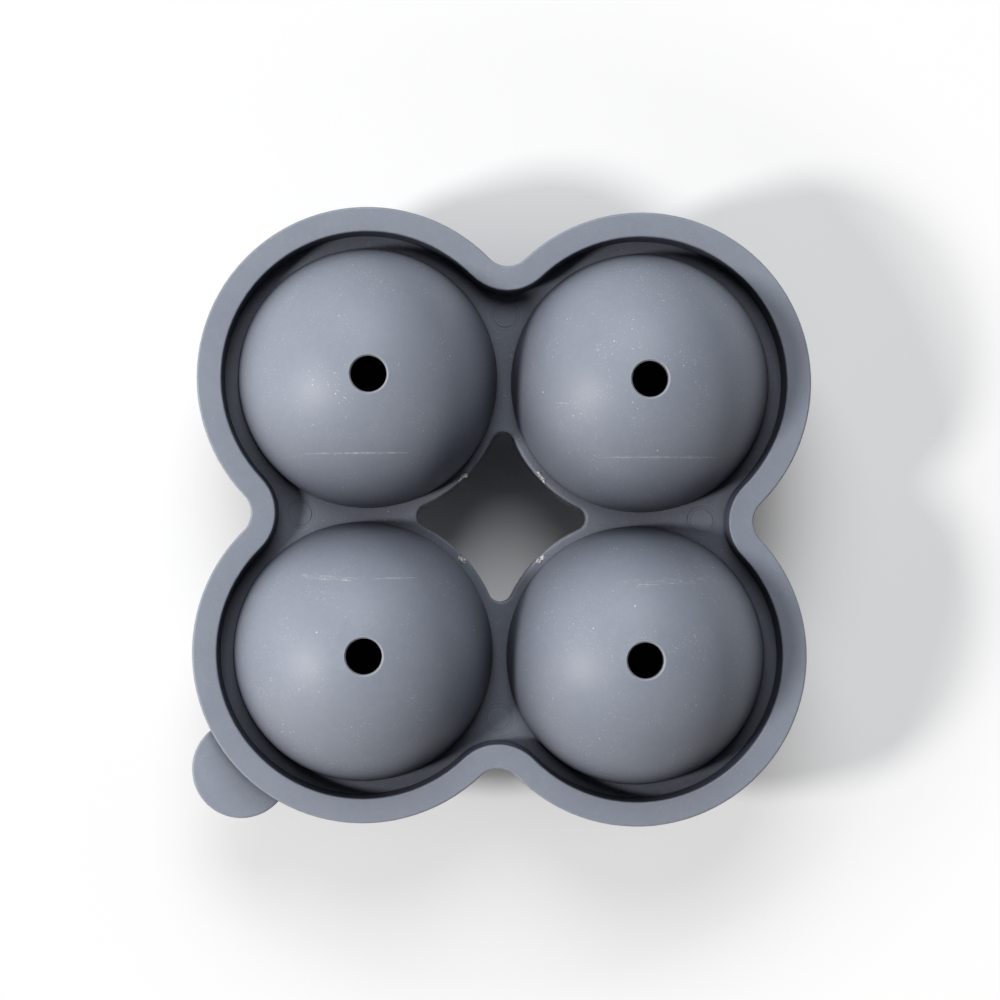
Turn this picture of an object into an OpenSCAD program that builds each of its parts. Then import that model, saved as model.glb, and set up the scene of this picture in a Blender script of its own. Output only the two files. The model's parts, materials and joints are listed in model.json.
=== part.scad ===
// Two-part silicone mould for four ice balls, lid on base, in millimetres.
// The mould stands on z = 0, with its four lobes round the z axis.

/* [Balls] */
// Diameter of the ice ball that one cavity makes
ball_d = 45; // [30:0.5:70]
// Wall of the domes and bowls
wall = 2.25; // [1.5:0.05:4]
// Gap between neighbouring domes at the parting plane
dome_gap = 2.5; // [1.6:0.1:6]

/* [Fill holes] */
// Diameter of the fill hole at the top of each dome
fill_d = 6.7; // [4:0.1:12]
// Width of the bevel round the mouth of each fill hole
fill_bevel = 0.35; // [0.1:0.05:0.8]

/* [Web] */
// Thickness of the lid's web between the domes and the rim
web_t = 1.8; // [1.4:0.1:3]
// Width of the moat floor between a dome and the foot of the rim
moat_w = 2.4; // [2:0.1:6]
// Width of the land between a dome and the centre opening
land_w = 1.65; // [1.4:0.05:4]
// Radius of the four tips of the centre opening
tip_r = 2.3; // [1.8:0.1:4]

/* [Rim] */
// Height of the rim above the moat floor
rim_h = 5; // [2.5:0.1:8]
// Width of the rim's flat top
rim_w = 4.7; // [4.2:0.1:8]
// Lean of the rim's inner wall over its height
rim_lean = 0.5; // [0.1:0.1:1.5]
// Thickness of the rim's outer skirt
skirt_t = 1.4; // [1:0.1:1.8]
// Thickness of the rim above the channel inside it
roof_t = 1.6; // [1:0.1:2.4]
// Radius of the outer notch between two lobes
notch_r = 4.8; // [3:0.1:12]
// Rounding of the edges of the rim, the tab and the centre opening
edge_r = 0.4; // [0.1:0.05:0.5]

/* [Tab] */
// Radius of the peel tab, whose centre lies on the rim's outer face
tab_r = 9.4; // [6:0.1:14]
// Thickness of the peel tab
tab_t = 2; // [1.2:0.1:4]

/* [Base] */
// Thickness of the base's flange
flange_t = 2.4; // [2:0.1:5]
// Thickness of the upstand that the rim closes over
upstand_t = 1.5; // [1:0.1:1.8]
// Diameter of the flat pad under each bowl
foot_d = 20; // [10:0.5:30]

/* [Seal and locating pegs] */
// Clearance of the upstand, the sealing beads and the pegs
fit = 0.2; // [0.1:0.05:0.3]
// Radius of the half-round sealing bead round each bowl
bead_r = 0.6; // [0.3:0.05:0.8]
// Diameter of the locating pegs under the web
peg_d = 4; // [2:0.1:5]
// Length of the locating pegs
peg_l = 1.4; // [0.8:0.1:1.6]
// Width of the shallow ring over each peg
ring_w = 1; // [0.4:0.1:1.5]
// Depth of the shallow ring over each peg
ring_depth = 0.12; // [0.05:0.01:0.3]
// Distance from the ring over a peg to the foot of the rim
ring_margin = 1.1; // [0.8:0.1:3]

/* [Hidden] */
$fn = 96;

// Balls, domes and the square on which their centres lie
ball_r = ball_d / 2;
dome_r = ball_r + wall;
lobe_at = dome_r + dome_gap / 2;
// Heights from the surface that the mould stands on
part_z = dome_r;
web_top = part_z + web_t;
rim_top = web_top + rim_h;
channel_top = rim_top - roof_t;
flange_z = part_z - flange_t;
// Radii from a lobe's centre
dome_foot_r = sqrt(dome_r ^ 2 - web_t ^ 2);
rim_foot_r = dome_foot_r + moat_w;
rim_r = rim_foot_r + rim_lean + rim_w;
opening_r = dome_r + land_w;
bead_at = (ball_r + opening_r) / 2;
fill_r = fill_d / 2;
foot_r = foot_d / 2;
// Depths inwards from the rim's outer face
channel_w = upstand_t + 2 * fit;
channel_in = skirt_t + channel_w;
upstand_out = skirt_t + fit;
upstand_in = upstand_out + upstand_t;
foot_in = rim_w + rim_lean;
// Distances of the notch and tip centres from the middle, on the X and Y axes
notch_at = lobe_at + sqrt((rim_r + notch_r) ^ 2 - lobe_at ^ 2);
tip_at = lobe_at - sqrt((opening_r + tip_r) ^ 2 - lobe_at ^ 2);
// Pegs sit on the X and Y axes, inside the notches
ring_r = peg_d / 2 + ring_w;
peg_at = notch_at - notch_r - foot_in - ring_margin - ring_r;
// Facets on a quarter turn of a rounded edge, and the overlap of cuts past a face
corner_steps = 4;
past = 1;
// How far the plates stop short of the swept edges that carry their outline
tuck = 0.1;
// Joining arcs are this much slimmer than the lobe arcs and turn this far into them
seam = 0.01;
seam_turn = 1;
// How far the border of the centre opening stands off the plate towards its rounded edge
border_lift = 0.03;

// Points of a quarter turn round a centre, from a start angle, anticlockwise.
function quarter(centre, radius, start) =
    [for (i = [0:corner_steps])
        let (a = start + 90 * i / corner_steps)
        centre + radius * [cos(a), sin(a)]];

// Places its children at each of the four lobe centres.
module at_lobes() {
    for (x = [-lobe_at, lobe_at], y = [-lobe_at, lobe_at])
        translate([x, y, 0])
            children();
}

// Places its children on each half of the X and Y axes, at a distance from the middle.
module at_axes(distance) {
    for (turn = [0:90:270])
        rotate(turn)
            translate([0, distance, 0])
                children();
}

// Sweeps a profile along a closed loop of four lobe arcs joined by four tangent arcs.
// The profile's x runs from the loop away from the material, and its y is the height.
// The joining arcs are centred beyond the lobes for a rim, or between them for an opening.
module sweep_loop(lobe_radius, joint_radius, joint_at, opening = false) {
    slope = atan2(joint_at - lobe_at, lobe_at);
    lobe_start = opening ? 180 - slope : slope - 90;
    lobe_turn = opening ? 90 + 2 * slope : 270 - 2 * slope;
    joint_start = (opening ? -slope : slope - 180) - seam_turn;
    joint_turn = (opening ? 180 + 2 * slope : 180 - 2 * slope) + 2 * seam_turn;
    for (turn = [0:90:270])
        rotate(turn) {
            translate([lobe_at, lobe_at, 0])
                rotate(lobe_start)
                    rotate_extrude(angle = lobe_turn)
                        translate([lobe_radius, 0])
                            children();
            translate([0, joint_at, 0])
                rotate(joint_start)
                    rotate_extrude(angle = joint_turn)
                        translate([joint_radius, 0])
                            mirror([1, 0])
                                offset(delta = -seam)
                                    children();
        }
}

// Star through the lobe centres and the centres of the joining arcs.
module star(joint_at) {
    polygon([for (turn = [0:90:270])
        each [
            lobe_at * sqrt(2) * [cos(turn + 45), sin(turn + 45)],
            joint_at * [cos(turn + 90), sin(turn + 90)]
        ]]);
}

// Outline of the four lobes, inset from the rim's outer face.
module clover(inset) {
    difference() {
        union() {
            star(notch_at);
            at_lobes()
                circle(rim_r - inset - tuck);
        }
        at_axes(notch_at)
            circle(notch_r + inset - tuck);
    }
}

// Outline of the four-pointed centre opening, grown into the land round it.
module opening(outset) {
    difference() {
        star(tip_at);
        at_lobes()
            circle(opening_r - outset - tuck);
    }
    at_axes(tip_at)
        circle(tip_r + outset - tuck);
}

// Web or flange: a flat plate inside the lobes, with the centre opening.
module plate(z, thickness, inset) {
    translate([0, 0, z])
        linear_extrude(thickness)
            difference() {
                clover(inset);
                opening(land_w / 4);
            }
}

// Border of the centre opening, with its exposed edge rounded.
module opening_border(z, thickness, round_top) {
    lip_w = land_w / 2;
    low_z = z + (round_top ? border_lift : -border_lift);
    top_z = low_z + thickness;
    low = round_top ? [[0, low_z]] : quarter([-edge_r, low_z + edge_r], edge_r, 270);
    high = round_top ? quarter([-edge_r, top_z - edge_r], edge_r, 0) : [[0, top_z]];
    sweep_loop(opening_r, tip_r, tip_at, opening = true)
        polygon(concat([[-lip_w, low_z]], low, high, [[-lip_w, top_z]]));
}

// Half ball on the parting plane, upwards for a dome or downwards for a bowl.
module half_ball(up) {
    translate([0, 0, part_z])
        rotate_extrude()
            intersection() {
                circle(dome_r);
                translate([0, up ? 0 : -dome_r])
                    square(dome_r);
            }
}

// Cavity of one ball.
module cavity() {
    translate([0, 0, part_z])
        sphere(ball_r);
}

// Ring of round section on the parting plane: the sealing bead, or its groove.
module bead(radius) {
    translate([0, 0, part_z])
        rotate_extrude()
            translate([bead_at, 0])
                circle(radius);
}

// Fill hole through the top of a dome, with a bevelled mouth.
module fill_hole() {
    mouth_z = part_z + sqrt(dome_r ^ 2 - fill_r ^ 2);
    translate([0, 0, part_z])
        cylinder(h = dome_r + past, r = fill_r);
    translate([0, 0, mouth_z - fill_bevel])
        cylinder(h = 2 * fill_bevel, r1 = fill_r, r2 = fill_r + 2 * fill_bevel);
}

// Raised rim of the lid: an upside-down channel with a leaning inner wall.
module rim() {
    web_mid = part_z + web_t / 2;
    buried_in = foot_in + rim_lean * (web_top - web_mid) / rim_h;
    sweep_loop(rim_r, notch_r, notch_at)
        polygon(concat(
            quarter([-edge_r, flange_z + edge_r], edge_r, 270),
            quarter([-edge_r, rim_top - edge_r], edge_r, 0),
            quarter([edge_r - rim_w, rim_top - edge_r], edge_r, 90),
            [
                [-buried_in, web_mid],
                [-buried_in, part_z],
                [-channel_in, part_z],
                [-channel_in, channel_top],
                [-skirt_t, channel_top],
                [-skirt_t, flange_z]
            ]));
}

// Peel tab: a round-edged disc on the outer face of one lobe.
module tab() {
    low_z = flange_z;
    high_z = flange_z + tab_t;
    reach = rim_r / sqrt(2);
    translate([-lobe_at, -lobe_at, 0])
        difference() {
            translate([-reach, -reach, 0])
                rotate_extrude()
                    polygon(concat(
                        [[0, low_z]],
                        quarter([tab_r - edge_r, low_z + edge_r], edge_r, 270),
                        quarter([tab_r - edge_r, high_z - edge_r], edge_r, 0),
                        [[0, high_z]]));
            translate([0, 0, low_z - past])
                cylinder(h = tab_t + 2 * past, r = rim_r - skirt_t / 2);
        }
}

// Shallow witness ring on the web over a peg.
module witness_ring() {
    translate([0, 0, web_top - ring_depth])
        difference() {
            cylinder(h = ring_depth + past, r = ring_r);
            translate([0, 0, -past])
                cylinder(h = ring_depth + 3 * past, r = ring_r - ring_w);
        }
}

// Upper half: domes with fill holes, web, rim, peel tab and locating pegs.
module lid() {
    color("slategray")
        difference() {
            union() {
                rim();
                tab();
                plate(part_z, web_t, (channel_in + foot_in) / 2);
                opening_border(part_z, web_t, round_top = true);
                at_lobes()
                    half_ball(up = true);
                at_axes(peg_at)
                    translate([0, 0, part_z - peg_l])
                        cylinder(h = peg_l + web_t / 2, d = peg_d);
            }
            at_lobes() {
                cavity();
                fill_hole();
                bead(bead_r + fit);
            }
            at_axes(peg_at)
                witness_ring();
        }
}

// Edge of the base: the flange's rounded border with the upstand on it.
module base_edge() {
    upstand_top = channel_top - fit;
    sweep_loop(rim_r, notch_r, notch_at)
        polygon(concat(
            quarter([-upstand_out - edge_r, flange_z + edge_r], edge_r, 270),
            quarter([-upstand_out - edge_r, upstand_top - edge_r], edge_r, 0),
            quarter([edge_r - upstand_in, upstand_top - edge_r], edge_r, 90),
            [
                [-upstand_in, part_z],
                [-foot_in, part_z],
                [-foot_in, flange_z]
            ]));
}

// Flat pad under a bowl, with a bevelled edge.
module foot() {
    meet_z = part_z - sqrt(dome_r ^ 2 - foot_r ^ 2);
    cylinder(h = edge_r, r1 = foot_r - edge_r, r2 = foot_r);
    translate([0, 0, edge_r])
        cylinder(h = meet_z, r = foot_r);
}

// Lower half: bowls on flat pads, flange, upstand, sealing beads and peg sockets.
module base() {
    color("slategray")
        difference() {
            union() {
                base_edge();
                plate(flange_z, flange_t, (upstand_in + foot_in) / 2);
                opening_border(flange_z, flange_t, round_top = false);
                at_lobes() {
                    half_ball(up = false);
                    foot();
                    bead(bead_r);
                }
            }
            at_lobes()
                cavity();
            at_axes(peg_at)
                translate([0, 0, part_z - peg_l - fit])
                    cylinder(h = peg_l + fit + past, r = peg_d / 2 + fit);
        }
}

lid();
base();
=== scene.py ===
"""Looks of a two-part silicone ice ball mould on a white table, laid out as a Blender add-on."""
import json
import math
import random

import bmesh
import bpy
from bpy.props import FloatProperty, FloatVectorProperty, IntProperty, PointerProperty
from mathutils import Euler, Matrix, Vector, noise

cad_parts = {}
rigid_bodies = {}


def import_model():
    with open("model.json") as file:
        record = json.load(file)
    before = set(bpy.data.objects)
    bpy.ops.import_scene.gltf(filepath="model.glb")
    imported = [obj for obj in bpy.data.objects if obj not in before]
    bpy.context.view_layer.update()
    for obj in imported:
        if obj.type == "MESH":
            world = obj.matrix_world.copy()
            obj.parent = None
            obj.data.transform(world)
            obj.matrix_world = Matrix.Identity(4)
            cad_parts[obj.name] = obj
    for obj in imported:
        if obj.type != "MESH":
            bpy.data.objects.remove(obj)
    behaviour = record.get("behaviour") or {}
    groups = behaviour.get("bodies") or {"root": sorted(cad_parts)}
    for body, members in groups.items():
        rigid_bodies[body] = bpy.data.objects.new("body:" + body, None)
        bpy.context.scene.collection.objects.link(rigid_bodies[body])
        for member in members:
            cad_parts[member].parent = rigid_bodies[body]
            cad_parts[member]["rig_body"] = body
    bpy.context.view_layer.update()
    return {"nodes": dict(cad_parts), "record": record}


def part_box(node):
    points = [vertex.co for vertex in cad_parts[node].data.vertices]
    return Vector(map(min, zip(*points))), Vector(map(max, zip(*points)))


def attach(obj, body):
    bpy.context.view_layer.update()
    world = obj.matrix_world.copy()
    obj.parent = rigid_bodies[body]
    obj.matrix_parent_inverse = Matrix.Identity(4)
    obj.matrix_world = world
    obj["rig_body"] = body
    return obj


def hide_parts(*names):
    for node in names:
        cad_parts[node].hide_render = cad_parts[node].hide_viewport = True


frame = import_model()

bl_info = {
    "name": "Ice ball mould",
    "version": (1, 0, 0),
    "blender": (4, 5, 0),
    "location": "3D View > Sidebar > Mould",
    "description": "Finishes the lid and base of a silicone ice ball mould and sets up its stage",
    "category": "Object",
}

MM = 0.001

# Places on the mould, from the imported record
FILL_HOLES = [m for m in frame["record"]["mounts"] if m["name"].startswith("fill_hole")]
LOBE_AT = abs(FILL_HOLES[0]["pos_m"][0])
FILL_R = FILL_HOLES[0]["dims"]["r_mm"] * MM
LID_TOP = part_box("lid")[1].z

# Distances from a ball's upright axis: just past the foot of its dome, just past the foot of the rim, the
# rim's outer face on a lobe, and just past that face in a notch
DOME_FOOT_R = LOBE_AT - 1 * MM
RIM_FOOT_R = DOME_FOOT_R + 3 * MM
LOBE_RIM_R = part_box("lid")[1].x - LOBE_AT
NOTCH_RIM_R = LOBE_RIM_R + 2.2 * MM

# Heights between which the scuffed bands, the dust low on the domes and the painted highlights round the fill
# holes come in
SCUFF_HEIGHTS = (LID_TOP - 16 * MM, LID_TOP - 13 * MM)
LOW_DUST_HEIGHTS = (LID_TOP - 7 * MM, LID_TOP - 14 * MM)
HOLE_HIGHLIGHT_HEIGHTS = (LID_TOP - 0.9 * MM, LID_TOP - 0.5 * MM)
# Half the width of the painted highlight round a fill hole
HOLE_HIGHLIGHT_HALF = 0.2 * MM

# Edges flatter than this are smooth, and vertices closer than this are one
SMOOTH_ANGLE = math.radians(32)
MERGE_WITHIN = 0.002 * MM

# Size of the patches, detail and roughness of each noise in the finishes
PATCHES = (14 * MM, 4.0, 0.55)
MOTTLE = (1.4 * MM, 3.0, 0.6)
FILM_CLOUDS = (22 * MM, 5.0, 0.6)
FINE_GRAIN = (0.22 * MM, 2.0, 0.6)
WAVES = (6 * MM, 2.0, 0.5)
DUST_CLUSTERS = (7 * MM, 3.0, 0.6)
SCUFF_BITS = (0.3 * MM, 2.0, 0.7)
SCUFF_GAPS = (1.6 * MM, 3.0, 0.75)
TEARS = (0.45 * MM, 2.0, 0.6)

SILICONE_IOR = 1.43

# Both ends of each scuffed band on the domes, in mm, how far its strokes spread, in mm, and how
# strong its strokes, its bits and its middle line are
SCUFFS = (
    ((-38.6, 11.2), (-16.9, 11.7), 0.45, 0.3, 0.5, 0.75),
    ((16.2, 11.4), (41.8, 11.9), 0.5, 0.35, 0.6, 0.5),
    ((-38.9, -11.3), (-26.4, -12.2), 0.8, 0.9, 0.8, 0.1),
    ((-25.2, -11.8), (-15.6, -11.4), 0.4, 0.4, 0.3, 0.4),
    ((18.2, -12.2), (40.2, -11.0), 1.1, 0.6, 0.3, 0.0),
    ((8.8, 21.5), (13.0, 21.3), 0.3, 0.7, 0.3, 0.2),
)
# Length, width and depth of one stroke, and the patches of it, in those lengths
STROKE = (3.5 * MM, 0.13 * MM, 4 * MM)
STROKE_NOISE = (1.0, 2.0, 0.6)

# Spacing, radius and strength of each kind of dust, and the shape and turns of the fibres
SPECKS = (0.6 * MM, 0.11 * MM, 0.55)
GRIT = (1.6 * MM, 0.16 * MM, 0.8)
CRUMBS = (5.5 * MM, 0.2 * MM, 0.9)
FIBRES = (1.1 * MM, 0.075 * MM, 0.55)
FIBRE_SHAPE = (9, 1, 1)
FIBRE_TURNS = (0.9, -0.6, 2.2)

# Where each softbox stands: its azimuth, elevation and apparent size, in degrees, and its distance
KEY_PLACE = (193, 39.5, 9.5, 1.3)
REAR_PLACE = (98, 50.5, 35, 1.5)

# Middle of each torn bit of flash on the edge of the centre opening, in mm, how far its crumbs stray from
# the edge, in mm, and the shape of a crumb
FLASH_AT = ((-7.48, 7.50), (7.61, 7.76), (-7.41, -8.14), (7.77, -7.90))
FLASH_STRAY = (0.25, 0.25, 0.1)
FLASH_SHAPE = (1.3, 0.8, 0.8)

# Half width of the table and its drop under the pads
TABLE_HALF = 3.0
TABLE_DROP = 0.02 * MM
# Distances from the middle between which the table lies under the centre opening, and between which it
# turns white by itself
UNDER_OPENING = (34 * MM, 22 * MM)
TABLE_WHITENS = (65 * MM, 125 * MM)
# Places from rear to front between which a painted pool of light comes in on the table under the centre
# opening
OPENING_LIGHT_FRONT = (14 * MM, -14 * MM)
# Upward share of a mirrored ray's direction at which the backdrop has gone dim, and at which it is white
BACKDROP_DIMS = (0.7, 0.2)


class Wire:
    """One output of a shader node. Arithmetic on it adds Math nodes to the same tree."""

    def __init__(self, tree, output=None):
        self.tree = tree
        self.output = output

    def add(self, kind, settings=None, inputs=None, output=0):
        """Adds a node: first its settings, then the values or links of its sockets."""
        node = self.tree.nodes.new(kind)
        for name, value in (settings or {}).items():
            setattr(node, name, value)
        for name, value in (inputs or {}).items():
            if isinstance(value, Wire):
                self.tree.links.new(value.output, node.inputs[name])
            else:
                node.inputs[name].default_value = value
        return Wire(self.tree, node.outputs[output])

    def math(self, operation, *values):
        """A Math node on this value and up to two others."""
        return self.add("ShaderNodeMath", {"operation": operation}, dict(enumerate((self, *values))))

    def __add__(self, other):
        return self.math("ADD", other)

    __radd__ = __add__

    def __sub__(self, other):
        return self.math("SUBTRACT", other)

    def __rsub__(self, other):
        return (self * -1.0) + other

    def __mul__(self, other):
        return self.math("MULTIPLY", other)

    __rmul__ = __mul__

    def __pow__(self, other):
        return self.math("POWER", other)

    def __abs__(self):
        return self.math("ABSOLUTE")

    def rise(self, low, high):
        """0 up to low, 1 from high on, and a smooth step between them. Low may be above high."""
        settings = {"interpolation_type": "SMOOTHSTEP"}
        return self.add("ShaderNodeMapRange", settings, {"Value": self, "From Min": low, "From Max": high})

    def tint(self, low, high):
        """A colour that goes from low to high as this value goes from 0 to 1."""
        return self.add("ShaderNodeMix", {"data_type": "RGBA"}, {0: self, 6: low, 7: high}, 2)

    def axes(self):
        """The three parts of a vector."""
        parts = self.add("ShaderNodeSeparateXYZ", None, {0: self})
        return [Wire(self.tree, socket) for socket in parts.output.node.outputs]

    def stretched(self, lengths, turn=0.0):
        """The vector turned about Z and then measured in these lengths along each axis."""
        inputs = {"Vector": self, "Rotation": (0, 0, turn), "Scale": lengths}
        return self.add("ShaderNodeMapping", {"vector_type": "TEXTURE"}, inputs)

    def noise(self, size, detail, roughness):
        """Cloudy noise whose patches are about this size, in metres."""
        inputs = {"Vector": self, "Scale": 1 / size, "Detail": detail, "Roughness": roughness}
        return self.add("ShaderNodeTexNoise", None, inputs)

    def openness(self, distance, inside=False):
        """How open the surface is up to this distance, or how thick it is there when seen from inside."""
        settings = {"samples": 8, "only_local": True, "inside": inside}
        return self.add("ShaderNodeAmbientOcclusion", settings, {"Distance": distance}, "AO")

    def dots(self, spacing, radius, strength):
        """Round specks of up to this radius and strength, one to a cell of this spacing, in metres."""
        cells = self.add("ShaderNodeTexVoronoi", None, {"Vector": self, "Scale": 1 / spacing})
        return cells.rise(radius / spacing, 0.5 * radius / spacing) * strength

    def most(self, *others):
        """The largest of this value and the others."""
        top = self
        for other in others:
            top = top.math("MAXIMUM", other)
        return top


def new_material(name):
    """An empty node material, its principled shader and a wire to add nodes with."""
    material = bpy.data.materials.new(name)
    material.use_nodes = True
    shader = material.node_tree.nodes["Principled BSDF"]
    return material, shader, Wire(material.node_tree)


def feed(wire, shader, socket):
    """Links a wire to a shader's socket."""
    wire.tree.links.new(wire.output, shader.inputs[socket])


def rgba(colour):
    """A colour with full opacity."""
    return (*colour, 1.0)


class SiliconeLookAndPaintedLight(bpy.types.PropertyGroup):
    """Colours and surface of the silicone, with its painted shade in crevices and painted highlights on edges
    and fill holes.
    """

    colour: FloatVectorProperty(
        name="Colour", description="Clean silicone", subtype="COLOR", size=3, min=0, max=1,
        default=(0.285, 0.312, 0.372))
    deep_colour: FloatVectorProperty(
        name="Deep colour", description="Darker patches in the silicone", subtype="COLOR", size=3, min=0,
        max=1, default=(0.266, 0.292, 0.352))
    # Painted shade: these three darken the silicone in its crevices and low on the domes, where shade falls
    painted_shade_colour: FloatVectorProperty(
        name="Crevice colour", description="What is left of the colour in the deepest crevices",
        subtype="COLOR", size=3, min=0, max=1, default=(0.0, 0.005, 0.03))
    painted_shade_reach: FloatProperty(
        name="Crevice reach", description="Distance up to which walls shade a crevice", unit="LENGTH",
        default=36 * MM)
    painted_shade_depth: FloatProperty(
        name="Crevice depth", description="Power with which a crevice darkens as it closes", min=0,
        default=1.15)
    film_colour: FloatVectorProperty(
        name="Film colour", description="Pale powder that clings to silicone", subtype="COLOR", size=3,
        min=0, max=1, default=(0.52, 0.53, 0.55))
    film: FloatProperty(
        name="Film", description="Most of the silicone that the powder film covers", subtype="FACTOR", min=0,
        max=1, default=0.10)
    dust_colour: FloatVectorProperty(
        name="Dust colour", description="Specks of dust and the dry scuffs", subtype="COLOR", size=3, min=0,
        max=1, default=(0.78, 0.78, 0.78))
    # Partly wear and partly a painted highlight on the rounded edges
    edge_wear_and_highlight: FloatProperty(
        name="Wear", description="How far the rounded edges have paled", subtype="FACTOR", min=0, max=1,
        default=0.8)
    edge_reach: FloatProperty(
        name="Edge reach", description="Distance from an edge up to which it has paled", unit="LENGTH",
        default=0.45 * MM)
    # A painted highlight: how pale the ring on the rounded edge of each fill hole is
    hole_highlight: FloatProperty(
        name="Hole lip", description="How pale the trimmed lip of a fill hole is", subtype="FACTOR", min=0,
        max=1, default=0.3)
    roughness: FloatProperty(
        name="Roughness", description="Roughness of clean silicone", subtype="FACTOR", min=0, max=1,
        default=0.49)
    grain: FloatProperty(
        name="Grain depth", description="Depth of the fine mould grain", unit="LENGTH", min=0,
        default=0.02 * MM)
    scuff_width: FloatProperty(
        name="Scuff width", description="Width of a scuffed stroke", unit="LENGTH", default=0.11 * MM)


class FlashBits(bpy.types.PropertyGroup):
    """Torn bits of flash left on the edge of the centre opening."""

    height: FloatProperty(
        name="Height", description="Height of the web that the bits lie on", unit="LENGTH",
        default=26.55 * MM)
    length: FloatProperty(
        name="Length", description="Length of a torn patch along the edge", unit="LENGTH", default=1.6 * MM)
    grain: FloatProperty(
        name="Grain", description="Size of the biggest crumb in a patch", unit="LENGTH", default=0.78 * MM)
    colour: FloatVectorProperty(
        name="Colour", description="Torn silicone", subtype="COLOR", size=3, min=0, max=1,
        default=(0.66, 0.65, 0.64))
    dull_colour: FloatVectorProperty(
        name="Dull colour", description="Soiled sides of the torn silicone", subtype="COLOR", size=3, min=0,
        max=1, default=(0.40, 0.38, 0.36))
    crumbs: IntProperty(name="Crumbs", description="Crumbs in a torn patch", min=2, default=7)
    tear: FloatProperty(
        name="Tear", description="How far the surface of a crumb is torn", unit="LENGTH", default=0.1 * MM)
    seed: IntProperty(name="Seed", description="Start of the random draws", min=1, default=4)


class StageSetup(bpy.types.PropertyGroup):
    """Camera, lights and floor."""

    camera_at: FloatVectorProperty(
        name="Camera place", description="Where the camera stands", subtype="TRANSLATION", size=3,
        default=(-0.02947, 0.00035, 0.66315))
    camera_turn: FloatVectorProperty(
        name="Camera turn", description="Turn of the camera from looking straight down", subtype="EULER",
        size=3, default=(math.radians(0.220), math.radians(-2.619), math.radians(0.943)))
    lens: FloatProperty(
        name="Lens", description="Focal length on a sensor 36 mm wide", unit="CAMERA", default=120.23)
    key_share: FloatProperty(
        name="Key share", description="Share of the floor's light that the left softbox gives",
        subtype="FACTOR", min=0, max=1, default=0.525)
    rear_share: FloatProperty(
        name="Rear share", description="Share of the floor's light that the rear softbox gives",
        subtype="FACTOR", min=0, max=1, default=0.45)
    key_colour: FloatVectorProperty(
        name="Key colour", description="Colour of the left softbox, with green at 1", subtype="COLOR",
        size=3, min=0, default=(1.015, 1.0, 0.99))
    rear_colour: FloatVectorProperty(
        name="Rear colour", description="Colour of the rear softbox, with green at 1", subtype="COLOR",
        size=3, min=0, default=(0.975, 1.0, 1.035))
    ambient_share: FloatProperty(
        name="Ambient share", description="Share of the floor's light that comes from all round",
        subtype="FACTOR", min=0, max=1, default=0.01)
    # Painted light: the table's own glow round the mould lightens the mould's shadows on it
    white_share: FloatProperty(
        name="White share", description="How far the table round the mould is white to the camera by itself",
        subtype="FACTOR", min=0, max=1, default=0.40)
    far_white_share: FloatProperty(
        name="Far white share", description="How far the table away from the mould is white by itself",
        subtype="FACTOR", min=0, max=1, default=0.97)
    # Painted light: a pale pool on the table under the centre opening, brighter towards the front
    opening_painted_light: FloatProperty(
        name="Opening share", description="How far the table in the centre opening is white by itself",
        subtype="FACTOR", min=0, max=1, default=0.03)
    shade_reach: FloatProperty(
        name="Shade reach", description="Distance up to which the mould shades the table's own white",
        unit="LENGTH", default=45 * MM)
    bounce: FloatProperty(
        name="Bounce", description="Share of its light that the table throws back on the mould",
        subtype="FACTOR", min=0, max=1, default=0.35)
    floor_colour: FloatVectorProperty(
        name="Floor colour", description="White table", subtype="COLOR", size=3, min=0, max=1,
        default=(0.975, 0.975, 0.975))


def show(mesh, name, material):
    """A new object for a finished mesh, at the origin, with its material."""
    mesh.materials.clear()
    mesh.materials.append(material)
    piece = bpy.data.objects.new(name, mesh)
    bpy.context.scene.collection.objects.link(piece)
    return piece


def smooth_copy(node, name, material):
    """A closed, smooth-shaded copy of a CAD node, which it replaces."""
    bm = bmesh.new()
    bm.from_mesh(frame["nodes"][node].data)
    for layer in list(bm.loops.layers.float_vector.values()):
        bm.loops.layers.float_vector.remove(layer)
    bmesh.ops.remove_doubles(bm, verts=bm.verts, dist=MERGE_WITHIN)
    mesh = bpy.data.meshes.new(name)
    bm.to_mesh(mesh)
    bm.free()
    if "custom_normal" in mesh.attributes:
        mesh.attributes.remove(mesh.attributes["custom_normal"])
    mesh.polygons.foreach_set("use_smooth", [True] * len(mesh.polygons))
    mesh.set_sharp_from_angle(angle=SMOOTH_ANGLE)
    piece = show(mesh, name, material)
    evened = piece.modifiers.new("Even normals", "WEIGHTED_NORMAL")
    evened.keep_sharp = True
    body = frame["nodes"][node]["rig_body"]
    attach(piece, body)
    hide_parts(node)
    return piece


def scuff_mask(place, silicone_look):
    """Dry broken strokes where the domes have rubbed, one band of them across each dome."""
    x, y, z = place.axes()
    bits = place.noise(*SCUFF_BITS).rise(0.56, 0.68)
    gaps = place.noise(*SCUFF_GAPS).rise(0.3, 0.62)
    total = None
    for (x0, y0), (x1, y1), spread, stroke, bit, middle in SCUFFS:
        slope = (y1 - y0) / (x1 - x0)
        across = abs(y - (x - x0 * MM) * slope - y0 * MM)
        half = (x1 - x0) / 2 * MM
        ends = abs(x - (x0 + x1) / 2 * MM).rise(half, 0.6 * half)
        strokes = place.stretched(STROKE, math.atan(slope)).noise(*STROKE_NOISE).rise(0.54, 0.7)
        band = across.rise(spread * MM, 0.1 * spread * MM)
        line = across.rise(silicone_look.scuff_width, 0.2 * silicone_look.scuff_width)
        mark = (band * (strokes * stroke + bits * bit) + line * middle) * gaps * ends
        total = mark if total is None else total + mark
    return total * z.rise(*SCUFF_HEIGHTS)


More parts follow.
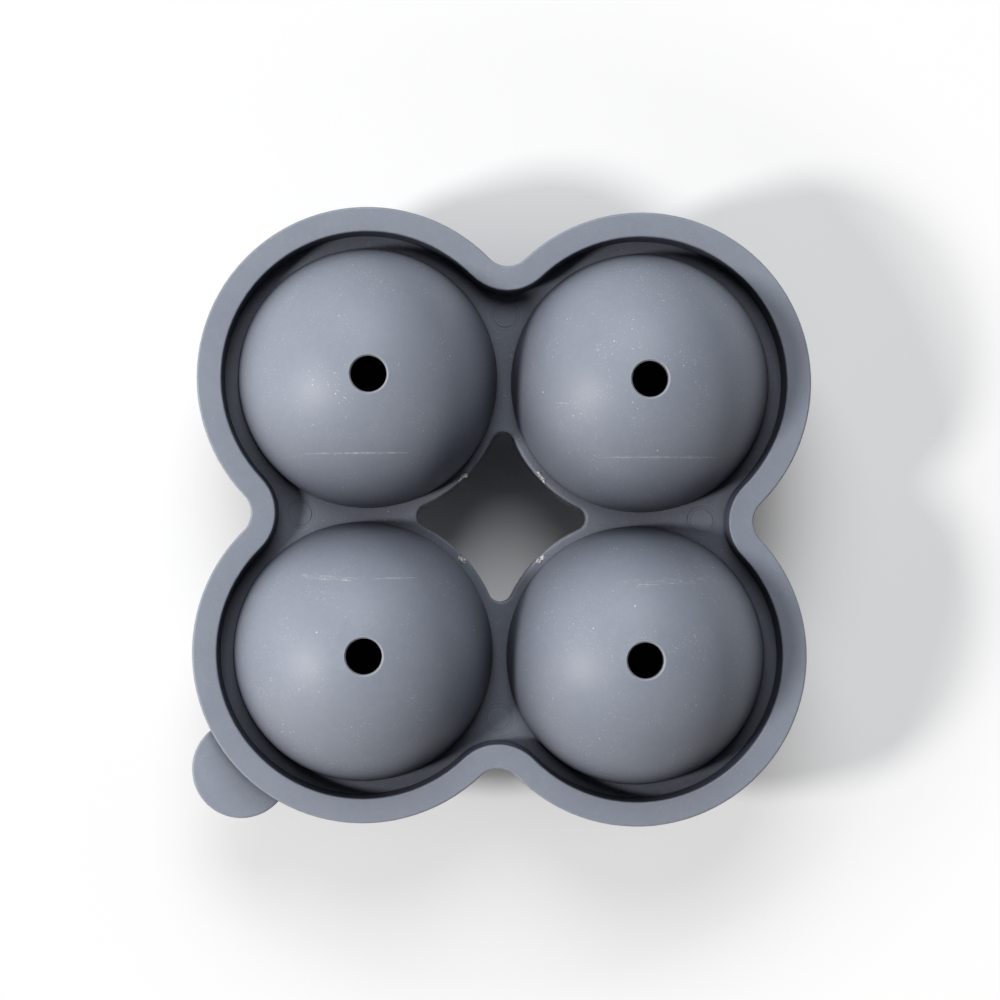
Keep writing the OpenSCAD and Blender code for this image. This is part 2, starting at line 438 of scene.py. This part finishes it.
def lobe_radius(place):
    """Distance from the upright axis of the nearest ball."""
    x, y = place.axes()[:2]
    across = abs(x) - LOBE_AT
    deep = abs(y) - LOBE_AT
    return (across * across + deep * deep) ** 0.5


def hole_highlight_mask(place):
    """A painted highlight: the pale ring on the rounded edge round each fill hole."""
    highlight_ring = abs(lobe_radius(place) - (FILL_R + HOLE_HIGHLIGHT_HALF)).rise(HOLE_HIGHLIGHT_HALF, 0.4 * HOLE_HIGHLIGHT_HALF)
    return highlight_ring * place.axes()[2].rise(*HOLE_HIGHLIGHT_HEIGHTS)


def dust_mask(place, up):
    """Fine specks, more of them low on the domes, a few crumbs and short fibres that lie on what faces up."""
    low = place.axes()[2].rise(*LOW_DUST_HEIGHTS)
    domes = lobe_radius(place).rise(RIM_FOOT_R, DOME_FOOT_R) * 0.75 + 0.25
    clusters = (place.noise(*DUST_CLUSTERS).rise(0.42, 0.68) + low * 0.35 + 0.1) * domes
    specks = place.dots(*SPECKS) * clusters
    grit = place.dots(*GRIT) * clusters
    crumbs = place.dots(*CRUMBS) * domes
    fibres = [place.stretched(FIBRE_SHAPE, turn).dots(*FIBRES) * clusters for turn in FIBRE_TURNS]
    return specks.most(grit, crumbs, *fibres) * up


def silicone_material(silicone_look):
    """Matte slate silicone with painted shade in its crevices, edges paled partly by wear and partly as
    painted highlights, a powder film, dust, scuffs, a painted highlight round the fill holes and a fine
    grain.
    """
    material, shader, start = new_material("slate_silicone")
    place = start.add("ShaderNodeTexCoord", output="Object")
    normal_z = place.add("ShaderNodeTexCoord", output="Normal").axes()[2]
    mottle = place.noise(*MOTTLE)
    cloudy = (place.noise(*PATCHES) * 0.6 + mottle * 0.4).rise(0.35, 0.65)
    body = cloudy.tint(rgba(silicone_look.deep_colour), rgba(silicone_look.colour))
    up = normal_z.rise(-0.2, 0.9)
    film = (place.noise(*FILM_CLOUDS).rise(0.3, 0.75) * 0.7 + mottle * 0.3) * up * silicone_look.film
    skin = film.tint(body, rgba(silicone_look.film_colour))
    # Rounded edges paled, partly as wear and partly as painted highlights where the edges catch the light
    worn_and_highlit_edges = place.openness(silicone_look.edge_reach, inside=True).rise(0.95, 0.5) * silicone_look.edge_wear_and_highlight
    skin = worn_and_highlit_edges.tint(skin, rgba(silicone_look.film_colour))
    dust = dust_mask(place, normal_z.rise(-0.2, 0.45))
    # Dust, scuffs and the painted highlight round the fill holes, all in the dust colour
    dust_scuffs_and_highlight = dust.most(scuff_mask(place, silicone_look), hole_highlight_mask(place) * silicone_look.hole_highlight)
    skin = dust_scuffs_and_highlight.tint(skin, rgba(silicone_look.dust_colour))
    # Painted shade: darker in the crevices, at the feet of the domes and under the rim, by how closed in each
    # spot is
    inside_rim = lobe_radius(place).rise(NOTCH_RIM_R, LOBE_RIM_R)
    painted_shade = (1.0 - place.openness(silicone_look.painted_shade_reach) ** silicone_look.painted_shade_depth) * inside_rim
    blend = {"data_type": "RGBA", "blend_type": "MULTIPLY"}
    shaded = place.add("ShaderNodeMix", blend, {0: painted_shade, 6: skin, 7: rgba(silicone_look.painted_shade_colour)}, 2)
    feed(shaded, shader, "Base Color")
    feed(mottle * 0.12 + (silicone_look.roughness - 0.06) + dust_scuffs_and_highlight * 0.25, shader, "Roughness")
    grain = place.noise(*FINE_GRAIN) + place.noise(*WAVES) * 2.0 + dust * 1.5
    bump = place.add(
        "ShaderNodeBump", None, {"Strength": 0.35, "Distance": silicone_look.grain, "Height": grain})
    feed(bump, shader, "Normal")
    shader.inputs["IOR"].default_value = SILICONE_IOR
    return material


def flash_material(bits):
    """Pale torn silicone with soiled sides, a little glossy where it tore."""
    material, shader, start = new_material("torn_silicone")
    place = start.add("ShaderNodeTexCoord", output="Object")
    tears = place.noise(*TEARS).rise(0.42, 0.58)
    feed(tears.tint(rgba(bits.dull_colour), rgba(bits.colour)), shader, "Base Color")
    feed(tears * 0.25 + 0.25, shader, "Roughness")
    bump = place.add(
        "ShaderNodeBump", None, {"Strength": 0.5, "Distance": 0.05 * MM, "Height": tears})
    feed(bump, shader, "Normal")
    return material


class MOULD_OT_lid(bpy.types.Operator):
    """Finish the domed lid"""

    bl_idname = "mould.lid"
    bl_label = "Lid"

    def execute(self, context):
        material = silicone_material(context.scene.mould_silicone)
        smooth_copy("lid", "lid_moulding", material)
        return {"FINISHED"}


class MOULD_OT_base(bpy.types.Operator):
    """Finish the base with its four bowls"""

    bl_idname = "mould.base"
    bl_label = "Base"

    def execute(self, context):
        smooth_copy("base", "base_moulding", bpy.data.materials["slate_silicone"])
        return {"FINISHED"}


class MOULD_OT_flash_bits(bpy.types.Operator):
    """Put torn bits of flash on the edge of the centre opening"""

    bl_idname = "mould.flash_bits"
    bl_label = "Flash bits"

    def execute(self, context):
        bits = context.scene.mould_flash
        draw = random.Random(bits.seed)
        noise.seed_set(bits.seed)
        bm = bmesh.new()
        for x, y in FLASH_AT:
            along = Vector((math.copysign(1, y), -math.copysign(1, x), 0)).normalized()
            for crumb in range(bits.crumbs):
                slide = (crumb / (bits.crumbs - 1) - 0.5) * bits.length
                stray = Vector([draw.uniform(-reach, reach) for reach in FLASH_STRAY])
                at = Vector((x * MM, y * MM, bits.height)) + along * slide + stray * MM
                size = bits.grain / 2 * draw.uniform(0.4, 1.0)
                turn = Matrix.Rotation(draw.uniform(0, math.pi), 4, "Z")
                lengths = Matrix.Diagonal((*(length * size for length in FLASH_SHAPE), 1))
                shape = Matrix.Translation(at) @ turn @ lengths
                made = bmesh.ops.create_icosphere(bm, subdivisions=2, radius=1, matrix=shape)
                for vert in made["verts"]:
                    vert.co += noise.noise_vector(vert.co / (3 * bits.tear)) * bits.tear
        mesh = bpy.data.meshes.new("flash_bits")
        bm.to_mesh(mesh)
        bm.free()
        mesh.polygons.foreach_set("use_smooth", [True] * len(mesh.polygons))
        piece = show(mesh, "flash_bits", flash_material(bits))
        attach(piece, "lid")
        return {"FINISHED"}


def softbox(name, place, share, colour):
    """A round softbox at its place, which gives this share of the light on the floor under the mould."""
    azimuth, elevation, angle = (math.radians(turn) for turn in place[:3])
    distance = place[3]
    lamp = bpy.data.lights.new(name, "AREA")
    lamp.shape = "DISK"
    lamp.color = colour
    lamp.size = 2 * distance * math.tan(angle / 2)
    lamp.energy = share * math.pi ** 2 * distance ** 2 / math.sin(elevation)
    box = bpy.data.objects.new(name, lamp)
    towards = Vector((
        math.cos(azimuth) * math.cos(elevation),
        math.sin(azimuth) * math.cos(elevation),
        math.sin(elevation)))
    turn = towards.to_track_quat("Z", "Y").to_matrix().to_4x4()
    box.matrix_world = Matrix.Translation(towards * distance) @ turn
    bpy.context.scene.collection.objects.link(box)


def seen_directly(start):
    """1 for rays that show the background itself, and 1 for rays that mirror it."""
    path = start.add("ShaderNodeLightPath").output.node.outputs
    kinds = ("Camera", "Transmission", "Glossy")
    camera, through, glossy = (Wire(start.tree, path[f"Is {kind} Ray"]) for kind in kinds)
    return camera.most(through), glossy


class MOULD_OT_stage(bpy.types.Operator):
    """Set up the white table, the softboxes and the camera"""

    bl_idname = "mould.stage"
    bl_label = "Stage"

    def execute(self, context):
        stage = context.scene.mould_stage
        scene = context.scene
        scene.view_settings.view_transform = "Standard"
        self.floor(stage)
        self.world(scene, stage)
        softbox("key_softbox", KEY_PLACE, stage.key_share, stage.key_colour)
        softbox("rear_softbox", REAR_PLACE, stage.rear_share, stage.rear_colour)
        lens = bpy.data.cameras.new("camera")
        lens.sensor_width = 36
        lens.lens = stage.lens
        lens.clip_start = 0.01
        camera = bpy.data.objects.new("camera", lens)
        turn = Euler(stage.camera_turn).to_matrix().to_4x4()
        camera.matrix_world = Matrix.Translation(stage.camera_at) @ turn
        scene.collection.objects.link(camera)
        scene.camera = camera
        return {"FINISHED"}

    def floor(self, stage):
        """A wide white table just under the mould's pads, which glows white to the camera by itself as
        painted light.
        """
        material, shader, start = new_material("white_table")
        shown, mirrored = seen_directly(start)
        seen = shown.most(mirrored)
        feed(seen.tint(rgba([stage.bounce] * 3), rgba(stage.floor_colour)), shader, "Base Color")
        shader.inputs["Roughness"].default_value = 0.9
        shader.inputs["Specular IOR Level"].default_value = 0.0
        reach = {"Distance": stage.shade_reach}
        shade = start.add("ShaderNodeAmbientOcclusion", {"samples": 8}, reach, "AO").rise(0.25, 0.75)
        glow = start.add("ShaderNodeEmission", None, {"Color": (1, 1, 1, 1), "Strength": 1.0})
        x, y = start.add("ShaderNodeTexCoord", output="Object").axes()[:2]
        radius = (x * x + y * y) ** 0.5
        # Painted light: the table glows white to the camera, less where the mould closes it in, which
        # lightens the mould's shadows; under the centre opening it glows a little towards the front
        under_opening = radius.rise(*UNDER_OPENING)
        round_mould = (1.0 - under_opening) * stage.white_share
        white = (radius.rise(*TABLE_WHITENS) * stage.far_white_share).most(round_mould)
        painted_light_in_opening = under_opening * y.rise(*OPENING_LIGHT_FRONT) * stage.opening_painted_light
        share = seen * (shade * white + painted_light_in_opening)
        lit = Wire(start.tree, shader.outputs[0])
        mixed = start.add("ShaderNodeMixShader", None, {0: share, 1: lit, 2: glow})
        below = start.add("ShaderNodeNewGeometry", output="Backfacing")
        clear = start.add("ShaderNodeBsdfTransparent")
        one_sided = start.add("ShaderNodeMixShader", None, {0: below, 1: mixed, 2: clear})
        feed(one_sided, material.node_tree.nodes["Material Output"], "Surface")
        bm = bmesh.new()
        bmesh.ops.create_grid(bm, x_segments=1, y_segments=1, size=TABLE_HALF)
        bmesh.ops.translate(bm, verts=bm.verts, vec=(0, 0, -TABLE_DROP))
        mesh = bpy.data.meshes.new("table")
        bm.to_mesh(mesh)
        bm.free()
        show(mesh, "table", material)

    def world(self, scene, stage):
        """Faint light from all round, and a white backdrop whose reflection is dim overhead."""
        world = bpy.data.worlds.new("studio")
        world.use_nodes = True
        scene.world = world
        start = Wire(world.node_tree)
        height = start.add("ShaderNodeTexCoord", output="Generated").axes()[2]
        shown, mirrored = seen_directly(start)
        strength = shown.most(mirrored * height.rise(*BACKDROP_DIMS), stage.ambient_share)
        background = world.node_tree.nodes["Background"]
        background.inputs["Color"].default_value = (1, 1, 1, 1)
        feed(strength, background, "Strength")


class MOULD_PT_panel(bpy.types.Panel):
    """Sidebar panel of the mould"""

    bl_label = "Ice ball mould"
    bl_idname = "MOULD_PT_panel"
    bl_space_type = "VIEW_3D"
    bl_region_type = "UI"
    bl_category = "Mould"

    def draw(self, context):
        for operator in OPERATORS:
            self.layout.operator(operator.bl_idname)
        for group in (context.scene.mould_silicone, context.scene.mould_flash, context.scene.mould_stage):
            box = self.layout.box()
            for name in group.bl_rna.properties.keys():
                if name not in ("rna_type", "name"):
                    box.prop(group, name)


OPERATORS = (MOULD_OT_stage, MOULD_OT_lid, MOULD_OT_base, MOULD_OT_flash_bits)
CLASSES = (SiliconeLookAndPaintedLight, FlashBits, StageSetup, *OPERATORS, MOULD_PT_panel)


def register():
    for cls in CLASSES:
        bpy.utils.register_class(cls)
    bpy.types.Scene.mould_silicone = PointerProperty(type=SiliconeLookAndPaintedLight)
    bpy.types.Scene.mould_flash = PointerProperty(type=FlashBits)
    bpy.types.Scene.mould_stage = PointerProperty(type=StageSetup)


def unregister():
    del bpy.types.Scene.mould_stage
    del bpy.types.Scene.mould_flash
    del bpy.types.Scene.mould_silicone
    for cls in reversed(CLASSES):
        bpy.utils.unregister_class(cls)


def main():
    register()
    bpy.ops.mould.stage()
    bpy.ops.mould.lid()
    bpy.ops.mould.base()
    bpy.ops.mould.flash_bits()


if __name__ == "__main__":
    main()
